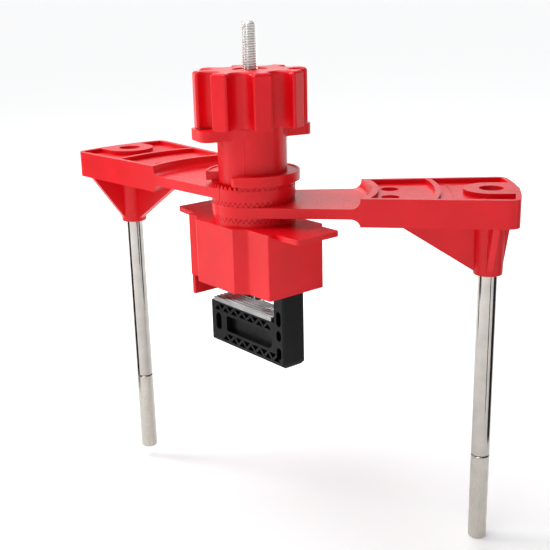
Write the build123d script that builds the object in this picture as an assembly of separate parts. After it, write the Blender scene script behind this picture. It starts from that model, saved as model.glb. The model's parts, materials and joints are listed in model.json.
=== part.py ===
"""Clamp-on valve lockout with two blocking arms, in millimetres.

Origin: on the stud axis, at the serrated face that rests on top of the valve handle. +Z is up along
the stud, and +X points to the side on which the jaw's column climbs into the housing.
"""

from build123d import *
from math import cos, hypot, pi, radians, sin, sqrt
import os

os.makedirs("parts", exist_ok=True)

# ---- stack on the stud, heights above the upper grip face ----
HOUSING_BOTTOM = 6.7
HOUSING_TOP = 48.6
SEAT = 52.8
ARM_PITCH = 10.3
SLEEVE_TOP = 108.9
KNOB_BOTTOM = 109.5
KNOB_TOP = 143.8
STUD_TOP = 172.2

# ---- serrations between housing, arms and sleeve ----
TEETH = 48
TOOTH_OUTER = 26.6
TOOTH_INNER = 19.0
TOOTH_HALF = 1.1
ROOT_HALF = 1.4
TOOTH_LEAN = 0.583
TOOTH_GAP = 0.16

# ---- stud and running fits ----
STUD_RADIUS = 5.0
RUN = 0.08
CLEAR = 0.4
NUT_FLATS = 16.0
NUT_HEIGHT = 8.0
THIN_NUT_HEIGHT = 5.0
HEAD_HEIGHT = 6.4

# ---- arms ----
HUB_RADIUS = 27.0
HUB_BORE = 5.4
ROD_OFFSET = 150.0
ARM_END = 167.0
ARM_ROOT_WIDTH = 27.2
ARM_FLARE = 0.0625
PADDLE_START = 75.5
PADDLE_LOW = -2.4
PADDLE_TOP = 15.3
NECK_LOW = 2.4
NECK_HIGH = 8.8
TRAY_DEPTH = 3.0
FLOOR_THICK = 3.0
RIM = 3.4
BOSS_LOW = -40.3
WING = 34.0
LOWER_ARM_ANGLE = 45.0
UPPER_ARM_ANGLE = 180.0
CABLE_HOLE = 5.8
CABLE_X = 87.0
CABLE_Y = 12.0

# ---- stop rods ----
ROD_RADIUS = 6.25
ROD_TOP = 5.0
ROD_BREAK = -168.6
ROD_END = -231.6
RECESS_RADIUS = 7.8
RECESS_FLOOR = 7.8
WASHER_THICK = 1.2

# ---- clamp ----
WALL = 3.0
BOX_LEFT = -43.0
BOX_RIGHT = 41.5
BOX_HALF = 22.2
BUMP_HALF = 28.4
BAY_LEFT = -25.5
BAY_RIGHT = 13.8
BAY_SLANT = 7.35
LIP_LEFT = -66.5
LIP_RIGHT = 62.7
LIP_THICK = 3.3
SKIRT_LOW = -7.0
JAW_HALF = 9.0
JAW_LEFT = -39.0
JAW_RIGHT = 38.0
COLUMN_LEFT = 28.6
LOWER_GRIP = -10.4
PLATE_THICK = 3.0
JAW_TOP = LOWER_GRIP - PLATE_THICK
JAW_LOW = -45.0
JAW_EDGE = -41.6
HOOK_LOW = 21.4
HOOK_HIGH = 36.0
PAD_TOP = 12.0
POST_SPOTS = [(-34.0, 14.5), (-34.0, -14.5), (19.0, 14.5), (19.0, -14.5)]
PLATE_SCREWS = (-26.0, 12.0)
SERRATION = 3.0
M4_SHANK = 1.62
M4_PILOT = 1.65
M4_CLEARANCE = 2.1

# ---- lock sleeve and knob ----
SLEEVE_LOW = SEAT + 2 * ARM_PITCH
SLEEVE_RADIUS = 22.0
FLANGE_RADIUS = 30.0
FLANGE_LOW = SLEEVE_LOW + ROOT_HALF
FLANGE_HIGH = 80.2
FLANGE_FROM = -59.5
FLANGE_TO = 232.0
EAR_LOW = 102.0
EAR_ANGLE = 75.0
EAR_REACH = 37.4
EAR_HALF = 12.5
PADLOCK_OFFSET = 31.0
PADLOCK_RADIUS = 3.75
SPIGOT_RADIUS = 12.0
SPIGOT_LOW = 101.5
THRUST_THICK = 2.0
LOBES = 8
LOBE_ANGLE = -26.0
KNOB_RADIUS = 35.5
VALLEY_HALF = 7.6
VALLEY_FLOOR = 24.0


def save(shape, node):
    """Write one node, as a single solid or as a group of separate solids."""
    shape.label = node
    export_step(shape, f"parts/{node}.step")


def tube(outer, inner, low, high, x=0.0, y=0.0):
    """A vertical ring, or a plain cylinder when inner is 0."""
    ring = Circle(outer) - Circle(inner) if inner else Circle(outer)
    return Pos(x, y, low) * extrude(ring, high - low)


def block(x0, x1, y0, y1, z0, z1):
    """A box from its corners."""
    size = (x1 - x0, y1 - y0, z1 - z0)
    return Pos((x0 + x1) / 2, (y0 + y1) / 2, (z0 + z1) / 2) * Box(*size)


def prism(points, low, high):
    """A plan outline pushed up from low to high."""
    return Pos(0, 0, low) * extrude(make_face(Polyline(*points, close=True)), high - low)


def side_prism(points, half):
    """An outline in X and Z, pushed out to +-half in Y."""
    return extrude(Plane.XZ * make_face(Polyline(*points, close=True)), half, both=True)


def hexagon(flats, low, high, x=0.0, y=0.0):
    """A vertical hexagonal bar."""
    return Pos(x, y, low) * extrude(RegularPolygon(flats / 2, 6, major_radius=False), high - low)


def spun(points):
    """A solid turned about Z from an outline in radius and height."""
    return revolve(Plane.XZ * make_face(Polyline(*points, close=True)), Axis.Z)


def one(shape):
    """The shape as its single solid."""
    return shape.solids()[0]


# ---- face serrations ----


def groove():
    """One V groove whose flanks all run through the centre of the tooth plane."""
    quarter = pi * TOOTH_OUTER / (2 * TEETH) + TOOTH_GAP
    high = TOOTH_HALF + 1.0
    half_high = quarter + TOOTH_LEAN * high
    half_low = quarter - TOOTH_LEAN * ROOT_HALF
    outline = [(-half_low, -ROOT_HALF), (half_low, -ROOT_HALF), (half_high, high), (-half_high, high)]
    rings = []
    for radius in (TOOTH_INNER - 2, TOOTH_OUTER + 2):
        scale = radius / TOOTH_OUTER
        rings.append([(radius, y * scale, z * scale) for y, z in outline])
    near, far = rings
    sides = [[near[i], near[i - 1], far[i - 1], far[i]] for i in range(len(outline))]
    faces = [make_face(Polyline(*points, close=True)) for points in [near, far, *sides]]
    return Solid(Shell(faces))


def tooth_ring(depth):
    """Crown teeth pointing up about z = 0, on a ring that reaches depth below it."""
    inner_tip = TOOTH_HALF * TOOTH_INNER / TOOTH_OUTER
    profile = [
        (TOOTH_INNER, -depth),
        (TOOTH_OUTER, -depth),
        (TOOTH_OUTER, TOOTH_HALF),
        (TOOTH_INNER, inner_tip),
    ]
    cut = groove()
    grooves = [Rot(0, 0, 360 / TEETH * i) * cut for i in range(TEETH)]
    return spun(profile) - grooves


def teeth_up(depth):
    return tooth_ring(depth)


def teeth_down(depth):
    """The mating ring: the same teeth upside down and half a pitch round."""
    return Rot(0, 0, 180 / TEETH) * (Rot(180, 0, 0) * tooth_ring(depth))


# ---- clamp housing ----


def plan(inset=0.0):
    """The housing's plan outline: a box with a wider bay on each long side."""
    near = [
        (BOX_LEFT, -BOX_HALF),
        (BAY_LEFT - BAY_SLANT, -BOX_HALF),
        (BAY_LEFT, -BUMP_HALF),
        (BAY_RIGHT, -BUMP_HALF),
        (BAY_RIGHT + BAY_SLANT, -BOX_HALF),
        (BOX_RIGHT, -BOX_HALF),
    ]
    far = [(x, -y) for x, y in reversed(near)]
    face = make_face(Polyline(*near, *far, close=True))
    return offset(face, -inset, kind=Kind.INTERSECTION) if inset else face


def lip(inner, outer, root_half, tip_half):
    """A flat ledge that stands out from one end of the housing's top."""
    points = [(inner, -root_half), (outer, -tip_half), (outer, tip_half), (inner, root_half)]
    shelf = prism(points, HOUSING_TOP - LIP_THICK, HOUSING_TOP)
    side = 1 if outer > inner else -1
    corners = shelf.edges().filter_by(Axis.Z).sort_by(Axis.X)[::side][-2:]
    return fillet(corners, 2.5)


def uprights(shape, spots):
    """The vertical edges that stand at any of the spots, on either side of the X axis."""
    found = []
    for edge in shape.edges().filter_by(Axis.Z):
        middle = edge.center()
        if any(hypot(middle.X - x, abs(middle.Y) - y) < 0.1 for x, y in spots):
            found.append(edge)
    return found


def housing():
    height = HOUSING_TOP - HOUSING_BOTTOM
    shell = Pos(0, 0, HOUSING_BOTTOM) * extrude(plan(), height)
    soft = [(BAY_LEFT - BAY_SLANT, BOX_HALF), (BAY_LEFT, BUMP_HALF), (BAY_RIGHT + BAY_SLANT, BOX_HALF)]
    crisp = [(BOX_LEFT, BOX_HALF), (BOX_RIGHT, BOX_HALF), (BAY_RIGHT, BUMP_HALF)]
    shell = fillet(uprights(shell, soft), 3.0)
    shell = fillet(uprights(shell, crisp), 1.0)
    shell -= Pos(0, 0, HOUSING_BOTTOM) * extrude(plan(WALL), height - LIP_THICK)
    shell += block(BOX_LEFT, BOX_LEFT + WALL, -BOX_HALF + 1, BOX_HALF - 1, SKIRT_LOW, HOUSING_BOTTOM + 2)
    shell += lip(BOX_RIGHT - 1, LIP_RIGHT, 16.8, 16.8)
    shell += lip(BOX_LEFT + 1, LIP_LEFT, 17.5, 14.2)
    inner_top = HOUSING_TOP - LIP_THICK
    for x, y in POST_SPOTS:
        shell += tube(4.0, 0, PAD_TOP, inner_top + 0.5, x, y)
        # each post is tied to its wall by a web
        reach = (BOX_HALF - 1) * (1 if y > 0 else -1)
        shell += block(x - 1.2, x + 1.2, min(y, reach), max(y, reach), PAD_TOP + 1, inner_top + 0.5)
        shell -= tube(M4_PILOT, 0, PAD_TOP - 1, PAD_TOP + 20, x, y)
    shell += tube(TOOTH_OUTER, TOOTH_INNER, HOUSING_TOP - 1, SEAT - ROOT_HALF - 0.3)
    shell += Pos(0, 0, SEAT) * teeth_up(ROOT_HALF + 0.6)
    shell -= tube(7.0, 0, 0, SEAT + 5)
    # guide ribs for the jaw's column, one each side of it
    for side in (-1, 1):
        y0 = side * (JAW_HALF + CLEAR)
        y1 = side * (BOX_HALF - 1)
        shell += block(31.0, 34.0, min(y0, y1), max(y0, y1), HOUSING_BOTTOM + 1.5, inner_top + 0.5)
    return one(shell)


def stud_bush():
    """Flanged steel bush that guides the stud through the housing's top."""
    body = tube(7.0, STUD_RADIUS + RUN, HOUSING_TOP - LIP_THICK, HOUSING_TOP)
    return body + tube(10.0, STUD_RADIUS + RUN, HOUSING_TOP, HOUSING_TOP + 1.4)


def grip_pad():
    """Black moulded block across the housing's mouth, fluted along its long sides."""
    low = PLATE_THICK
    pad = block(BOX_LEFT + WALL + 0.3, 25.0, -18.8, 18.8, low, PAD_TOP)
    pad = fillet(pad.edges().filter_by(Axis.Z), 1.5)
    for i in range(14):
        x = -36.0 + 4.4 * i
        for side in (-1, 1):
            y = side * 18.8
            pad -= block(x - 0.9, x + 0.9, y - 1.2, y + 1.2, low - 1, PAD_TOP - 3)
    for x, y in POST_SPOTS:
        pad -= tube(M4_CLEARANCE, 0, low - 1, PAD_TOP + 1, x, y)
        pad -= tube(4.0, 0, low - 1, low + 4.2, x, y)
    for x in PLATE_SCREWS:
        pad -= tube(M4_PILOT, 0, low - 1, low + 8, x)
    return one(pad)


# ---- serrated grip plates and their screws ----

def serrated_plate(x0, x1, half, screws):
    """A steel plate with its back at z = 0 and grooves along X in its top face."""
    plate = block(x0, x1, -half, half, 0, PLATE_THICK)
    rows = int(half / SERRATION)
    for i in range(-rows - 1, rows + 1):
        y = (i + 0.5) * SERRATION
        notch = [(y - 0.9, PLATE_THICK + 0.1), (y, PLATE_THICK - 1.1), (y + 0.9, PLATE_THICK + 0.1)]
        outline = Plane.YZ * make_face(Polyline(*notch, close=True))
        plate -= Pos(x0 - 1, 0, 0) * extrude(outline, x1 - x0 + 2)
    for x in screws:
        plate -= tube(M4_CLEARANCE, 0, -1, PLATE_THICK + 1, x)
        plate -= Pos(x, 0, PLATE_THICK - 2.2) * countersink(4.6, 2.3)
    return one(plate)


def countersink(radius, depth):
    """A cone that opens upwards from the shank radius."""
    return Pos(0, 0, depth / 2) * Cone(M4_CLEARANCE, radius, depth)


def flat_screw(length):
    """A countersunk M4 screw, head up, with its top face at z = 0."""
    head = spun([(0, 0), (3.9, 0), (3.9, -0.3), (M4_SHANK, -2.3), (M4_SHANK, -length), (0, -length)])
    return one(head - hexagon(2.5, -1.6, 0.5))


def pan_screw(length):
    """A pan-head M4 screw, head down, with its head's underside seat at z = 0."""
    head = [(0, -2.6), (2.6, -2.6), (3.6, -1.4), (3.6, 0)]
    shape = spun([*head, (M4_SHANK, 0), (M4_SHANK, length), (0, length)])
    return one(shape - hexagon(2.5, -3.0, -1.0))


# ---- jaw ----


def triangles(x0, x1, z0, z1, count):
    """A row of alternating triangular pockets between two straight ribs."""
    step = (x1 - x0) / count
    found = []
    for i in range(count):
        left = x0 + step * i
        mid = left + step / 2
        found.append([(left + 1.0, z0), (left + step - 1.0, z0), (mid, z1 - 1.4)])
        if i < count - 1:
            found.append([(mid + 1.0, z1), (mid + step - 1.0, z1), (left + step, z0 + 1.4)])
    return found


def jaw_pockets():
    """The cored pockets of one face, as plan outlines in X and Z."""
    pockets = []
    pockets += triangles(-36.5, 26.5, -19.3, -14.6, 7)
    pockets += triangles(-28.0, 35.5, -39.6, -34.6, 7)
    faces = [make_face(Polyline(*points, close=True)) for points in pockets]
    square_end = Pos(-1.75, -27.0) * RectangleRounded(41.5, 11.0, 1.5)
    faces.append(square_end + Pos(8.25, -27.0) * SlotOverall(36.5, 11.0))
    faces.append(Pos(-31.5, -27.5) * Rot(0, 0, 90) * SlotOverall(12.0, 6.0))
    faces.append(Pos(33.0, -33.5) * Rot(0, 0, 90) * SlotOverall(8.0, 4.6))
    faces.append(Pos(33.0, -21.5) * Rot(0, 0, 90) * SlotOverall(7.0, 4.6))
    faces.append(Pos(33.0, -10.0) * Rot(0, 0, 90) * SlotOverall(10.0, 4.6))
    return faces


def jaw_hook():
    """C-shaped jaw: block under the handle, column beside it, arm over it inside the housing."""
    outline = [
        (JAW_LEFT, JAW_TOP),
        (JAW_LEFT, JAW_LOW + 4),
        (JAW_LEFT + 4, JAW_LOW),
        (JAW_RIGHT - 6, JAW_LOW),
        (JAW_RIGHT - 1.8, JAW_LOW + 1.8),
        (JAW_RIGHT, JAW_LOW + 6),
        (JAW_RIGHT, HOOK_HIGH),
        (-12.0, HOOK_HIGH),
        (-12.0, HOOK_LOW),
        (COLUMN_LEFT, HOOK_LOW),
        (COLUMN_LEFT, JAW_TOP),
    ]
    body = side_prism(outline, JAW_HALF)
    body = fillet(body.edges().filter_by(Axis.Z).group_by(Axis.X)[-1], 2.0)
    section = [
        (-JAW_HALF - 1, HOOK_HIGH + 1),
        (-JAW_HALF - 1, JAW_EDGE + 0.6),
        (-3.5, JAW_LOW),
        (3.5, JAW_LOW),
        (JAW_HALF + 1, JAW_EDGE + 0.6),
        (JAW_HALF + 1, HOOK_HIGH + 1),
    ]
    across = Plane.YZ * make_face(Polyline(*section, close=True))
    body &= Pos(JAW_LEFT - 1, 0, 0) * extrude(across, JAW_RIGHT - JAW_LEFT + 2)
    depth = 4.5
    for face in jaw_pockets():
        cutter = extrude(Plane.XZ * face, depth + 1)
        for offset_y in (-JAW_HALF + depth, JAW_HALF + 1):
            body -= Pos(0, offset_y, 0) * cutter
    body -= tube(STUD_RADIUS, 0, HOOK_LOW - 1, HOOK_HIGH + 1)
    body -= hexagon(NUT_FLATS + 0.2, HOOK_LOW - 1, HOOK_LOW + CLEAR + HEAD_HEIGHT)
    body -= hexagon(NUT_FLATS + 0.2, HOOK_HIGH - THIN_NUT_HEIGHT, HOOK_HIGH + 1)
    for x in PLATE_SCREWS:
        body -= tube(M4_PILOT, 0, JAW_TOP - 8, JAW_TOP + 1, x)
    return one(body)


def hex_nut(height, bore):
    """A hexagonal nut standing on z = 0 with its corners taken off."""
    nut = hexagon(NUT_FLATS, 0, height)
    corner = NUT_FLATS / sqrt(3)
    crown = spun([
        (0, 0),
        (corner - 0.7, 0),
        (corner + 0.3, 0.7),
        (corner + 0.3, height - 0.7),
        (corner - 0.7, height),
        (0, height),
    ])
    return one((nut & crown) - tube(bore, 0, -1, height + 1))


def threaded_stud():
    """M10 hexagon bolt standing on its head; its thread is a plain cylinder at the crest."""
    base = HOOK_LOW + CLEAR
    head = Pos(0, 0, base) * hexagon(NUT_FLATS, 0, HEAD_HEIGHT)
    shank = tube(STUD_RADIUS, 0, base, STUD_TOP)
    return one(chamfer((head + shank).edges().sort_by(Axis.Z)[-1], 0.9))


# ---- arms ----


def arm_outline(inset=0.0, start=0.0):
    """Plan of an arm along +X: two flaring sides and an end concentric with the hub."""
    end = ARM_END - inset
    half = ARM_ROOT_WIDTH - inset + ARM_FLARE * start
    tip_half = ARM_ROOT_WIDTH - inset + ARM_FLARE * (end - 4)
    tip_x = sqrt(end**2 - tip_half**2)
    sides = Polyline((tip_x, -tip_half), (start, -half), (start, half), (tip_x, tip_half))
    return make_face(sides + ThreePointArc((tip_x, tip_half), (end, 0), (tip_x, -tip_half)))


def band(inner, outer, low, high, inset=0.0):
    """The part of a ring about the hub that lies within the arm's outline."""
    ring = tube(outer, inner, low, high)
    return ring & (Pos(0, 0, low - 1) * extrude(arm_outline(inset), high - low + 2))


def arm_blank():
    """Neck and paddle, turned about the hub axis and trimmed to the plan outline."""
    blend = 5.5
    foot = PADDLE_START
    top_turn = CenterArc((foot - blend, NECK_HIGH + blend), blend, -90, 90)
    low_turn = CenterArc((foot - blend, NECK_LOW - blend), blend, 90, -90)
    edges = [
        Line((0, NECK_LOW), (foot - blend, NECK_LOW)),
        low_turn,
        Line((foot, NECK_LOW - blend), (ARM_END + 5, NECK_LOW - blend)),
        Line((ARM_END + 5, NECK_LOW - blend), (ARM_END + 5, PADDLE_TOP)),
        Line((ARM_END + 5, PADDLE_TOP), (foot, PADDLE_TOP)),
        Line((foot, PADDLE_TOP), (foot, NECK_HIGH + blend)),
        top_turn,
        Line((foot - blend, NECK_HIGH), (0, NECK_HIGH)),
        Line((0, NECK_HIGH), (0, NECK_LOW)),
    ]
    turned = revolve(Plane.XZ * make_face(Wire(edges)), Axis.Z)
    wide = ARM_END + 10
    turned -= block(-wide, wide, -wide, wide, PADDLE_LOW - 10, PADDLE_LOW)
    outline = Pos(0, 0, PADDLE_LOW) * extrude(arm_outline(), PADDLE_TOP - PADDLE_LOW)
    corners = outline.edges().filter_by(Axis.Z).sort_by(Axis.X)[-2:]
    return turned & fillet(corners, 7.0)


def gusset(points, thick=4.0):
    """A web in the X Z plane through the rod axis."""
    return side_prism(points, thick / 2)


def arm():
    """One blocking arm along +X, with z = 0 at its lower serration plane."""
    floor = PADDLE_TOP - TRAY_DEPTH
    under = floor - FLOOR_THICK
    body = arm_blank()
    body -= band(79.8, 115.0, floor, PADDLE_TOP + 1, RIM)
    body -= band(118.6, ARM_END - RIM, floor, PADDLE_TOP + 1, RIM)
    body -= band(PADDLE_START + RIM, ARM_END - RIM, PADDLE_LOW - 1, under, RIM)
    body += tube(HUB_RADIUS, 0, NECK_LOW, NECK_HIGH)
    # platform round the rod screw, joined to the outer rim
    body += tube(17.5, 0, floor - 0.5, PADDLE_TOP, ROD_OFFSET)
    body += block(ROD_OFFSET, ARM_END - 1.5, -17.5, 17.5, floor - 0.5, PADDLE_TOP)
    body += band(125.6, 126.4, floor - 0.5, floor + 0.4, RIM - 0.5)
    # tapered boss and its four webs
    boss_top = under + 0.5
    body += Pos(ROD_OFFSET, 0, (BOSS_LOW + boss_top) / 2) * Cone(9.3, 10.8, boss_top - BOSS_LOW)
    toe = BOSS_LOW + 1.5
    rod_line = [(ROD_OFFSET, boss_top), (ROD_OFFSET, toe)]
    body += gusset([(83.0, PADDLE_LOW), (83.0, boss_top), *rod_line, (141.5, toe)])
    body += gusset([(163.5, PADDLE_LOW), (163.5, boss_top), *rod_line, (158.5, toe)])
    near_wing = [(-8.0, toe), (-WING, PADDLE_LOW), (-WING, boss_top)]
    wing = [*near_wing, *[(-y, z) for y, z in reversed(near_wing)]]
    body += Pos(ROD_OFFSET, 0, 0) * (Rot(0, 0, 90) * gusset(wing))
    # rod socket, screw hole and screw recess
    body -= tube(ROD_RADIUS, 0, BOSS_LOW - 1, ROD_TOP, ROD_OFFSET)
    body -= tube(3.3, 0, BOSS_LOW, PADDLE_TOP + 1, ROD_OFFSET)
    body -= tube(RECESS_RADIUS, 0, RECESS_FLOOR, PADDLE_TOP + 1, ROD_OFFSET)
    for side in (-1, 1):
        body -= tube(CABLE_HOLE, 0, PADDLE_LOW - 1, PADDLE_TOP + 1, CABLE_X, side * CABLE_Y)
    body += Pos(0, 0, ARM_PITCH) * teeth_up(ARM_PITCH - NECK_HIGH + 0.5)
    body += teeth_down(NECK_LOW + 0.5)
    body -= tube(HUB_BORE, 0, -3, ARM_PITCH + 3)
    return one(body)


def stop_rod():
    """Upper length of the stop rod, drilled for the screw above and the joint stud below."""
    rod = tube(ROD_RADIUS, 0, ROD_BREAK, ROD_TOP, ROD_OFFSET)
    rod = chamfer(rod.edges().sort_by(Axis.Z)[0], 0.7)
    rod -= tube(2.5, 0, ROD_TOP - 16, ROD_TOP + 1, ROD_OFFSET)
    return one(rod - tube(3.0, 0, ROD_BREAK - 1, ROD_BREAK + 13, ROD_OFFSET))


def rod_extension():
    """Screwed-on lower length, with a rounded end."""
    rod = tube(ROD_RADIUS, 0, ROD_END, ROD_BREAK, ROD_OFFSET)
    ends = rod.edges().sort_by(Axis.Z)
    rod = chamfer(ends[-1], 0.7)
    rod = fillet(rod.edges().sort_by(Axis.Z)[0], 1.6)
    return one(rod - tube(3.0, 0, ROD_BREAK - 13, ROD_BREAK + 1, ROD_OFFSET))


def joint_stud():
    """M6 stud hidden between the rod and its extension."""
    return one(tube(3.0, 0, ROD_BREAK - 12, ROD_BREAK + 12, ROD_OFFSET))


def rod_washer():
    return one(tube(6.2, 3.2, RECESS_FLOOR, RECESS_FLOOR + WASHER_THICK, ROD_OFFSET))


def rod_screw():
    """M6 button-head screw that holds the rod up into its socket."""
    seat = RECESS_FLOOR + WASHER_THICK
    shape = spun([
        (0, seat - 20),
        (2.5, seat - 20),
        (2.5, ROD_TOP),
        (3.0, ROD_TOP),
        (3.0, seat),
        (5.2, seat),
        (5.2, seat + 0.6),
        (4.4, seat + 2.2),
        (2.8, seat + 3.1),
        (0, seat + 3.1),
    ])
    shape -= hexagon(4.0, seat + 1.2, seat + 4)
    return one(Pos(ROD_OFFSET, 0, 0) * shape)


# ---- lock sleeve and knob ----


def open_sector(low, high):
    """The wedge that the foot flange leaves open."""
    reach = 2 * FLANGE_RADIUS
    steps = 12
    sector = []
    for i in range(steps + 1):
        turn = radians(FLANGE_TO + (FLANGE_FROM + 360 - FLANGE_TO) * i / steps)
        sector.append((reach * cos(turn), reach * sin(turn)))
    return prism([(0, 0), *sector], low, high)


def open_flange():
    """C-shaped flange at the foot of the sleeve, with a rounded nose at its front end."""
    middle = (FLANGE_RADIUS + SLEEVE_RADIUS) / 2
    half = (FLANGE_RADIUS - SLEEVE_RADIUS) / 2
    ring = tube(FLANGE_RADIUS, SLEEVE_RADIUS - 1, FLANGE_LOW, FLANGE_HIGH)
    ring += tube(FLANGE_RADIUS, FLANGE_RADIUS - 1.6, FLANGE_HIGH - 1, FLANGE_HIGH + 0.7)
    ring -= open_sector(FLANGE_LOW - 1, FLANGE_HIGH + 2)
    turn = radians(FLANGE_FROM)
    return ring + tube(half, 0, FLANGE_LOW, FLANGE_HIGH, middle * cos(turn), middle * sin(turn))


def ear_flange():
    """Bar with two padlock ears at the top of the sleeve."""
    bar = RectangleRounded(2 * EAR_REACH, 2 * EAR_HALF, 6.0) + Circle(SLEEVE_RADIUS)
    waist = bar.vertices().filter_by(lambda v: abs(abs(v.Y) - EAR_HALF) < 0.01 and abs(v.X) < 25)
    bar = fillet(waist, 8.0)
    plate = extrude(bar, SLEEVE_TOP - EAR_LOW)
    for side in (-1, 1):
        plate -= tube(PADLOCK_RADIUS, 0, -1, 20, side * PADLOCK_OFFSET)
    return Pos(0, 0, EAR_LOW) * (Rot(0, 0, EAR_ANGLE) * plate)


def lock_sleeve():
    body = tube(SLEEVE_RADIUS, 0, SLEEVE_LOW + ROOT_HALF, SLEEVE_TOP)
    body += open_flange()
    body += ear_flange()
    foot = Pos(0, 0, SLEEVE_LOW) * teeth_down(ROOT_HALF + 2.5)
    # the foot's teeth stop where the flange does
    wedge = open_sector(SLEEVE_LOW - 3, FLANGE_HIGH)
    body += foot - (wedge - tube(SLEEVE_RADIUS, 0, SLEEVE_LOW - 4, FLANGE_HIGH + 1))
    # mould parting line down the front of the barrel
    seam = radians(-52.0)
    for turn in (seam, seam + pi):
        x = (SLEEVE_RADIUS - 0.35) * cos(turn)
        y = (SLEEVE_RADIUS - 0.35) * sin(turn)
        body += tube(0.6, 0, FLANGE_HIGH - 1, EAR_LOW + 1, x, y)
    body -= tube(HUB_BORE, 0, SLEEVE_LOW - 3, SLEEVE_TOP + 1)
    body -= tube(SPIGOT_RADIUS + RUN, 0, SPIGOT_LOW - THRUST_THICK - RUN, SLEEVE_TOP + 1)
    return one(body)


def knob():
    """Eight-lobed knob with a spigot that turns in the sleeve."""
    outline = RegularPolygon(KNOB_RADIUS, LOBES, major_radius=False, rotation=180 / LOBES)
    valley = Pos(VALLEY_FLOOR + 20, 0) * SlotOverall(40, 2 * VALLEY_HALF)
    for i in range(LOBES):
        outline -= Rot(0, 0, 360 / LOBES * (i + 0.5)) * valley
    outline = fillet(outline.vertices().filter_by(lambda v: hypot(v.X, v.Y) > VALLEY_FLOOR + 9), 1.5)
    body = extrude(outline, KNOB_TOP - KNOB_BOTTOM)
    body = fillet(body.faces().sort_by(Axis.Z)[-1].edges(), 2.2)
    body = Pos(0, 0, KNOB_BOTTOM) * (Rot(0, 0, LOBE_ANGLE) * body)
    body += tube(SPIGOT_RADIUS, 0, SPIGOT_LOW, KNOB_BOTTOM + 1)
    body -= tube(STUD_RADIUS + 0.3, 0, SPIGOT_LOW - 1, KNOB_TOP + 1)
    body -= hexagon(NUT_FLATS, SPIGOT_LOW - 1, SPIGOT_LOW + NUT_HEIGHT)
    # shallow round dish in the top face
    body -= tube(11.0, 0, KNOB_TOP - 0.8, KNOB_TOP + 1)
    return one(body)


def thrust_washer():
    low = SPIGOT_LOW - THRUST_THICK
    return one(tube(10.5, STUD_RADIUS + 0.4, low, SPIGOT_LOW))


def upside_down(shape):
    return Rot(180, 0, 0) * shape


def placed(shape, angle, level):
    """An arm piece turned about the stud and lifted to its place in the stack."""
    return Pos(0, 0, level) * (Rot(0, 0, angle) * shape)


# ---- clamp, fixed group ----
save(housing(), "clamp_housing")
save(stud_bush(), "stud_bush")
save(grip_pad(), "upper_grip_pad")
upper_plate = serrated_plate(-36.0, 22.0, 12.0, PLATE_SCREWS)
save(Pos(0, 0, PLATE_THICK) * upside_down(upper_plate), "upper_grip_plate")
plate_screw = flat_screw(9.0)
save(Compound([Pos(x, 0, 0.1) * upside_down(plate_screw) for x in PLATE_SCREWS]), "upper_plate_screws")
pad_screw = pan_screw(24.0)
pad_seat = PLATE_THICK + 4.2
save(Compound([Pos(x, y, pad_seat) * pad_screw for x, y in POST_SPOTS]), "pad_screws")

# ---- jaw group ----
save(jaw_hook(), "jaw_hook")
save(Pos(0, 0, JAW_TOP) * serrated_plate(-36.0, 25.4, JAW_HALF - 0.1, PLATE_SCREWS), "lower_grip_plate")
jaw_face = JAW_TOP + PLATE_THICK
save(Compound([Pos(x, 0, jaw_face - 0.1) * plate_screw for x in PLATE_SCREWS]), "lower_plate_screws")
save(threaded_stud(), "threaded_stud")
save(Pos(0, 0, HOOK_HIGH - THIN_NUT_HEIGHT) * hex_nut(THIN_NUT_HEIGHT, STUD_RADIUS), "stud_lock_nut")

# ---- arm groups ----
arm_shape = arm()
arm_pieces = {
    "stop_rod": stop_rod(),
    "rod_extension": rod_extension(),
    "rod_joint_stud": joint_stud(),
    "rod_washer": rod_washer(),
    "rod_screw": rod_screw(),
}
levels = {
    "lower": (LOWER_ARM_ANGLE, SEAT),
    "upper": (UPPER_ARM_ANGLE, SEAT + ARM_PITCH),
}
for where, (angle, level) in levels.items():
    save(placed(arm_shape, angle, level), f"{where}_arm")
    for piece, shape in arm_pieces.items():
        save(placed(shape, angle, level), f"{where}_{piece}")

# ---- sleeve and knob ----
save(lock_sleeve(), "lock_sleeve")
save(thrust_washer(), "thrust_washer")
save(knob(), "lock_knob")
save(Pos(0, 0, SPIGOT_LOW) * hex_nut(NUT_HEIGHT, STUD_RADIUS + RUN), "knob_nut")
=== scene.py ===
"""Looks for the clamp-on valve lockout: materials, the stud's thread, edge rounding, lights and camera."""

import json
from math import cos, pi, radians, sin

import bmesh
import bpy
from mathutils import Matrix, Vector

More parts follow.
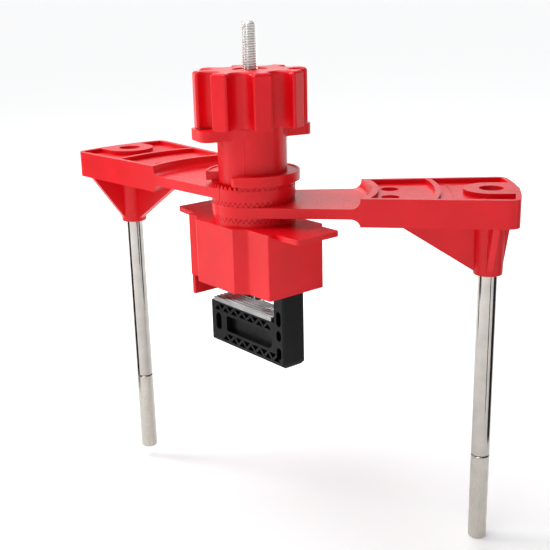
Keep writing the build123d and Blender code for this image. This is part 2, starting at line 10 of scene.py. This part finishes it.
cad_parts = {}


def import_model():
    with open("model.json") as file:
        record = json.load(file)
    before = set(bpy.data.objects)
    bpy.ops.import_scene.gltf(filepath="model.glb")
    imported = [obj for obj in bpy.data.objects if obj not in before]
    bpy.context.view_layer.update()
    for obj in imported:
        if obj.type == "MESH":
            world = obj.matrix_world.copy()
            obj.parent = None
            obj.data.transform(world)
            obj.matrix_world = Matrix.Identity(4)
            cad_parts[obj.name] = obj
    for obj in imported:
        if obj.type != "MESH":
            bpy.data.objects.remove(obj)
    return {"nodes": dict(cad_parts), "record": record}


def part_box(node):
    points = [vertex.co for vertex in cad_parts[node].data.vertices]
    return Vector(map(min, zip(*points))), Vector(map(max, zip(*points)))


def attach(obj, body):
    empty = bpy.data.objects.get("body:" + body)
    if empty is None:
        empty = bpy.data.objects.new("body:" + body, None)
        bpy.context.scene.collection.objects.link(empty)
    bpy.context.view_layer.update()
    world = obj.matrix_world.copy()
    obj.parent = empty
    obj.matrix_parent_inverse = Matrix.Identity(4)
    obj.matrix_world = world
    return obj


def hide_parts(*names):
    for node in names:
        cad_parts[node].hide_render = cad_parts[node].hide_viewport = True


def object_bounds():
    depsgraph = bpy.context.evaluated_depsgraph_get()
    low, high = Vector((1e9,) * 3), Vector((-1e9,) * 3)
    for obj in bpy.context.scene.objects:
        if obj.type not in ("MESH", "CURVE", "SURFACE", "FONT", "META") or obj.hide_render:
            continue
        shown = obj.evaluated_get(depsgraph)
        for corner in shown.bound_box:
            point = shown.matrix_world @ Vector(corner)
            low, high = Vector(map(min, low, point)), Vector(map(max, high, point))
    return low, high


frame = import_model()
cad_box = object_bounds()

MM = 0.001


# ---------------------------------------------------------------- materials


class Shader:
    """A node material with one Principled shader, and short calls for the usual nodes."""

    def __init__(self, name, **values):
        self.mat = bpy.data.materials.new(name)
        self.mat.use_nodes = True
        self.tree = self.mat.node_tree
        self.bsdf = self.tree.nodes["Principled BSDF"]
        for socket, value in values.items():
            self.bsdf.inputs[socket.replace("_", " ")].default_value = value
        coords = self.tree.nodes.new("ShaderNodeTexCoord")
        self.place = coords.outputs["Object"]

    def node(self, kind, **settings):
        made = self.tree.nodes.new("ShaderNode" + kind)
        for key, value in settings.items():
            setattr(made, key, value)
        return made

    def link(self, source, target):
        self.tree.links.new(source, target)

    def stretched(self, x, y, z):
        """Object coordinates scaled differently along each axis, for grain that runs one way."""
        mapping = self.node("Mapping")
        mapping.inputs["Scale"].default_value = (x, y, z)
        self.link(self.place, mapping.inputs["Vector"])
        return mapping.outputs["Vector"]

    def noise(self, scale, detail=4.0, rough=0.5, vector=None):
        made = self.node("TexNoise")
        made.inputs["Scale"].default_value = scale
        made.inputs["Detail"].default_value = detail
        made.inputs["Roughness"].default_value = rough
        self.link(vector or self.place, made.inputs["Vector"])
        return made.outputs["Fac"]

    def ramp(self, fac, stops):
        """A colour ramp from (position, grey or colour) stops."""
        made = self.node("ValToRGB")
        elements = made.color_ramp.elements
        while len(elements) < len(stops):
            elements.new(0.5)
        for element, (position, colour) in zip(elements, stops):
            element.position = position
            grey = not hasattr(colour, "__len__")
            element.color = (colour, colour, colour, 1) if grey else (*colour, 1)
        self.link(fac, made.inputs["Fac"])
        return made.outputs["Color"]

    def bumps(self, *layers):
        """Adds bump layers of (height output, distance in metres, strength)."""
        normal = None
        for height, distance, strength in layers:
            made = self.node("Bump")
            made.inputs["Distance"].default_value = distance
            made.inputs["Strength"].default_value = strength
            self.link(height, made.inputs["Height"])
            if normal:
                self.link(normal, made.inputs["Normal"])
            normal = made.outputs["Normal"]
        self.link(normal, self.bsdf.inputs["Normal"])

    def colour(self, output):
        self.link(output, self.bsdf.inputs["Base Color"])

    def roughness(self, output):
        self.link(output, self.bsdf.inputs["Roughness"])


def moulded_red():
    """Satin moulded red nylon: faint flow mottling, fine spark texture and slight sink."""
    s = Shader("moulded_red", IOR=1.36, Coat_Weight=0.05, Coat_Roughness=0.18)
    flow = s.noise(38, 3.0)
    s.colour(s.ramp(flow, [(0.30, (0.64, 0.001, 0.005)), (0.70, (0.74, 0.002, 0.009))]))
    s.roughness(s.ramp(s.noise(420, 3.0), [(0.3, 0.30), (0.7, 0.40)]))
    s.bumps((s.noise(55, 2.0), 0.0006, 0.12), (s.noise(2600, 2.0), 0.00006, 0.35))
    return s.mat


def moulded_black():
    """Glass-filled black nylon: matt, with a fibrous grain and a little bloom."""
    s = Shader("moulded_black", IOR=1.28)
    s.colour(s.ramp(s.noise(60, 4.0), [(0.3, (0.0015, 0.0015, 0.0018)), (0.75, (0.004, 0.004, 0.0045))]))
    s.roughness(s.ramp(s.noise(300, 4.0), [(0.3, 0.34), (0.7, 0.5)]))
    fibres = s.noise(1, 3.0, vector=s.stretched(900, 900, 120))
    s.bumps((s.noise(1500, 3.0), 0.00010, 0.5), (fibres, 0.00008, 0.4))
    return s.mat


def metal(name, dark, light, rough_low, rough_high, grain, depth, blotch=90):
    """Bare or plated steel; grain is the scale of its lines along X, Y and Z."""
    s = Shader(name, Metallic=1.0)
    s.colour(s.ramp(s.noise(blotch, 4.0), [(0.3, dark), (0.7, light)]))
    lines = s.noise(1, 3.0, vector=s.stretched(*grain))
    s.roughness(s.ramp(lines, [(0.3, rough_low), (0.7, rough_high)]))
    s.bumps((lines, depth, 0.5))
    return s.mat


RED = moulded_red()
BLACK = moulded_black()
BRIGHT = metal("bright_rod", (0.44, 0.41, 0.38), (0.51, 0.48, 0.45), 0.07, 0.15, (900, 900, 30), 0.000012)
SATIN = metal("satin_rod", (0.46, 0.44, 0.40), (0.54, 0.51, 0.46), 0.20, 0.32, (700, 700, 90), 0.00002)
ZINC = metal("plated_steel", (0.72, 0.71, 0.69), (0.84, 0.83, 0.81), 0.14, 0.26, (1200, 1200, 1200), 0.000012)
GRIP = metal("grip_steel", (0.34, 0.34, 0.34), (0.48, 0.48, 0.47), 0.30, 0.48, (160, 2400, 2400), 0.00004)

FINISH = {
    "red_plastic": RED,
    "black_plastic": BLACK,
    "bright_rod": BRIGHT,
    "satin_rod": SATIN,
    "plated_steel": ZINC,
    "grip_steel": GRIP,
}


# ---------------------------------------------------------------- the CAD meshes

WELD_DISTANCE = 0.002 * MM
FLAT_ANGLE = radians(0.02)
ROUND_ANGLE = radians(32)
PLAIN_EDGE = 0.25 * MM
EDGE = {"red_plastic": 0.45 * MM, "black_plastic": 0.4 * MM, "grip_steel": 0.2 * MM}


def dress(obj, material):
    """Gives every face one material."""
    obj.data.materials.clear()
    obj.data.materials.append(material)


def soften(obj, width):
    """Joins the tessellation, rounds the edges between its faces and evens the shading over them."""
    merge = obj.modifiers.new("merge", "WELD")
    merge.merge_threshold = WELD_DISTANCE
    flat = obj.modifiers.new("flat", "DECIMATE")
    flat.decimate_type = "DISSOLVE"
    flat.angle_limit = FLAT_ANGLE
    edge = obj.modifiers.new("edge", "BEVEL")
    edge.width = width
    edge.segments = 2
    edge.limit_method = "ANGLE"
    edge.angle_limit = ROUND_ANGLE
    edge.use_clamp_overlap = True
    even = obj.modifiers.new("even", "WEIGHTED_NORMAL")
    even.weight = 90
    even.keep_sharp = False


slot_of = {entry["node"]: entry["material_slot"] for entry in frame["record"]["subparts"]}
for name, obj in frame["nodes"].items():
    dress(obj, FINISH[slot_of[name]])
    soften(obj, EDGE.get(slot_of[name], PLAIN_EDGE))


# ---------------------------------------------------------------- the stud's thread

PITCH = 1.5 * MM
CREST = 5.0 * MM
ROOT = 4.08 * MM
LEAD_CHAMFER = 0.9 * MM
HEAD_HEIGHT = 6.4 * MM
THREAD_SIDES = 36
CLOSE = 0.005 * MM

# an ISO thread over one pitch, as (part of the pitch, radius): crest, flank, root, then a flank back up
FLAT_CREST = 1 / 8
FLANK = 5 / 16
PROFILE = [(0.0, CREST), (FLAT_CREST, CREST), (FLAT_CREST + FLANK, ROOT), (1 - FLANK, ROOT)]


def add_mesh(name, mesh):
    """Puts a finished bmesh into the scene as an object."""
    data = bpy.data.meshes.new(name)
    mesh.to_mesh(data)
    mesh.free()
    obj = bpy.data.objects.new(name, data)
    bpy.context.scene.collection.objects.link(obj)
    return obj


def stud_with_thread():
    """The M10 bolt's shank with a right-hand thread, as one helical surface. The head is left out."""
    low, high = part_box("threaded_stud")
    mesh = bmesh.new()
    start = low.z + HEAD_HEIGHT
    turns = int((high.z - start) / PITCH) + 2
    rings = []
    for turn in range(-1, turns):
        for part, profile_radius in PROFILE:
            ring = []
            for i in range(THREAD_SIDES):
                angle = 2 * pi * i / THREAD_SIDES
                z = start + (turn + part + i / THREAD_SIDES) * PITCH
                z = min(max(z, start), high.z)
                radius = min(profile_radius, CREST - LEAD_CHAMFER + (high.z - z))
                ring.append(mesh.verts.new((radius * cos(angle), radius * sin(angle), z)))
            rings.append(ring)
    for k in range(len(rings) - 1):
        for i in range(THREAD_SIDES):
            j = (i + 1) % THREAD_SIDES
            up = len(PROFILE) if j == 0 else 0
            if k + up + 1 >= len(rings):
                continue
            corners = [rings[k][i], rings[k + up][j], rings[k + up + 1][j], rings[k + 1][i]]
            mesh.faces.new(corners)
    bmesh.ops.remove_doubles(mesh, verts=mesh.verts, dist=CLOSE)
    bmesh.ops.holes_fill(mesh, edges=[e for e in mesh.edges if e.is_boundary], sides=0)
    return add_mesh("stud_thread", mesh)


stud = stud_with_thread()
dress(stud, ZINC)
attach(stud, "jaw")
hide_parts("threaded_stud")


# ---------------------------------------------------------------- stage, lights and camera


LIGHT_TARGET = (0, 0, 0.03)

FLOOR_HALF_WIDTH = 80.0
GLOW_FROM = 0.1
GLOW_FULL = 0.9

CAMERA_DISTANCE = 0.60446
CAMERA_HEIGHT = 0.19238
BEARING = radians(52.0)
HEADING = radians(50.817)
PITCH_DOWN = radians(16.787)
ROLL = radians(-1.409)
LENS = 62.70
SENSOR_WIDTH = 36.0

WALL_TOP = 0.06
WALL_LIGHT = (0.90, 0.91, 0.93, 1)
CEILING_FROM = 0.20
CEILING_LIGHT = (0.16, 0.165, 0.175, 1)


def aim(obj, place, target):
    """Puts an object at a place with its -Z side towards a target."""
    obj.location = place
    obj.rotation_euler = (Vector(target) - Vector(place)).to_track_quat("-Z", "Y").to_euler()


def sheet(name, cells, half_width):
    """A flat square object in the XY plane."""
    mesh = bmesh.new()
    bmesh.ops.create_grid(mesh, x_segments=cells, y_segments=cells, size=half_width)
    return add_mesh(name, mesh)


def floor():
    """A large pale floor at the foot of the lowest rod."""
    obj = sheet("floor", 8, FLOOR_HALF_WIDTH)
    obj.location.z = cad_box[0][2]
    s = Shader("floor", IOR=1.4, Roughness=0.7, Emission_Strength=1.0)
    s.colour(s.ramp(s.noise(3, 2.0), [(0.3, (0.80, 0.80, 0.80)), (0.7, (0.83, 0.83, 0.83))]))
    # the floor away from the object glows evenly, as a lit paper background does
    away = s.node("VectorMath", operation="LENGTH")
    s.link(s.place, away.inputs[0])
    reach = s.node("MapRange")
    reach.inputs["From Min"].default_value = GLOW_FROM
    reach.inputs["From Max"].default_value = GLOW_FULL
    s.link(away.outputs["Value"], reach.inputs["Value"])
    s.link(s.ramp(reach.outputs["Result"], [(0.0, 0.22), (1.0, 0.80)]), s.bsdf.inputs["Emission Color"])
    dress(obj, s.mat)


def camera():
    data = bpy.data.cameras.new("camera")
    data.sensor_width = SENSOR_WIDTH
    data.lens = LENS
    data.clip_start = 0.01
    obj = bpy.data.objects.new("camera", data)
    place = Vector((CAMERA_DISTANCE * sin(BEARING), -CAMERA_DISTANCE * cos(BEARING), CAMERA_HEIGHT))
    turn = Matrix.Rotation(HEADING, 4, "Z") @ Matrix.Rotation(pi / 2 - PITCH_DOWN, 4, "X")
    obj.matrix_world = Matrix.Translation(place) @ turn @ Matrix.Rotation(ROLL, 4, "Z")
    bpy.context.scene.collection.objects.link(obj)
    bpy.context.scene.camera = obj


def world():
    """A pale wall of light round the horizon under a dimmer ceiling."""
    made = bpy.data.worlds.new("studio")
    made.use_nodes = True
    tree = made.node_tree
    coords = tree.nodes.new("ShaderNodeTexCoord")
    split = tree.nodes.new("ShaderNodeSeparateXYZ")
    fade = tree.nodes.new("ShaderNodeValToRGB")
    wall, ceiling = fade.color_ramp.elements
    wall.position = WALL_TOP
    wall.color = WALL_LIGHT
    ceiling.position = CEILING_FROM
    ceiling.color = CEILING_LIGHT
    tree.links.new(coords.outputs["Generated"], split.inputs["Vector"])
    tree.links.new(split.outputs["Z"], fade.inputs["Fac"])
    tree.links.new(fade.outputs["Color"], tree.nodes["Background"].inputs["Color"])
    bpy.context.scene.world = made


def area_light(name, place, size, power):
    light = bpy.data.lights.new(name, "AREA")
    light.shape = "RECTANGLE"
    light.size, light.size_y = size
    light.energy = power
    obj = bpy.data.objects.new(name, light)
    aim(obj, place, LIGHT_TARGET)
    bpy.context.scene.collection.objects.link(obj)


def flag(name, place, target, size):
    """A black studio flag that shows only in reflections, for the dark bands down the bright rods."""
    obj = sheet(name, 1, 0.5)
    obj.scale = (size[0], size[1], 1)
    aim(obj, place, target)
    black = Shader(name, Roughness=0.9)
    black.bsdf.inputs["Base Color"].default_value = (0.01, 0.01, 0.012, 1)
    dress(obj, black.mat)
    obj.visible_camera = False
    obj.visible_diffuse = False
    obj.visible_shadow = False


floor()
camera()
world()
area_light("top", (-0.15, -0.25, 1.1), (1.3, 0.9), 13)
area_light("key", (-1.05, -0.75, 0.6), (0.5, 0.7), 11)
area_light("fill", (0.5, -1.2, 0.4), (0.3, 0.6), 1.6)
area_light("back", (-0.8, 0.7, 0.7), (0.9, 0.6), 4)
flag("left_flag", (-0.235, -0.105, -0.02), (-0.15, 0, -0.02), (0.10, 0.30))
flag("right_flag", (0.19, 0.21, -0.02), (0.106, 0.106, -0.02), (0.12, 0.30))
flag("right_near_flag", (0.30, 0.07, -0.03), (0.106, 0.106, -0.03), (0.03, 0.28))

bpy.context.scene.view_settings.view_transform = "Standard"
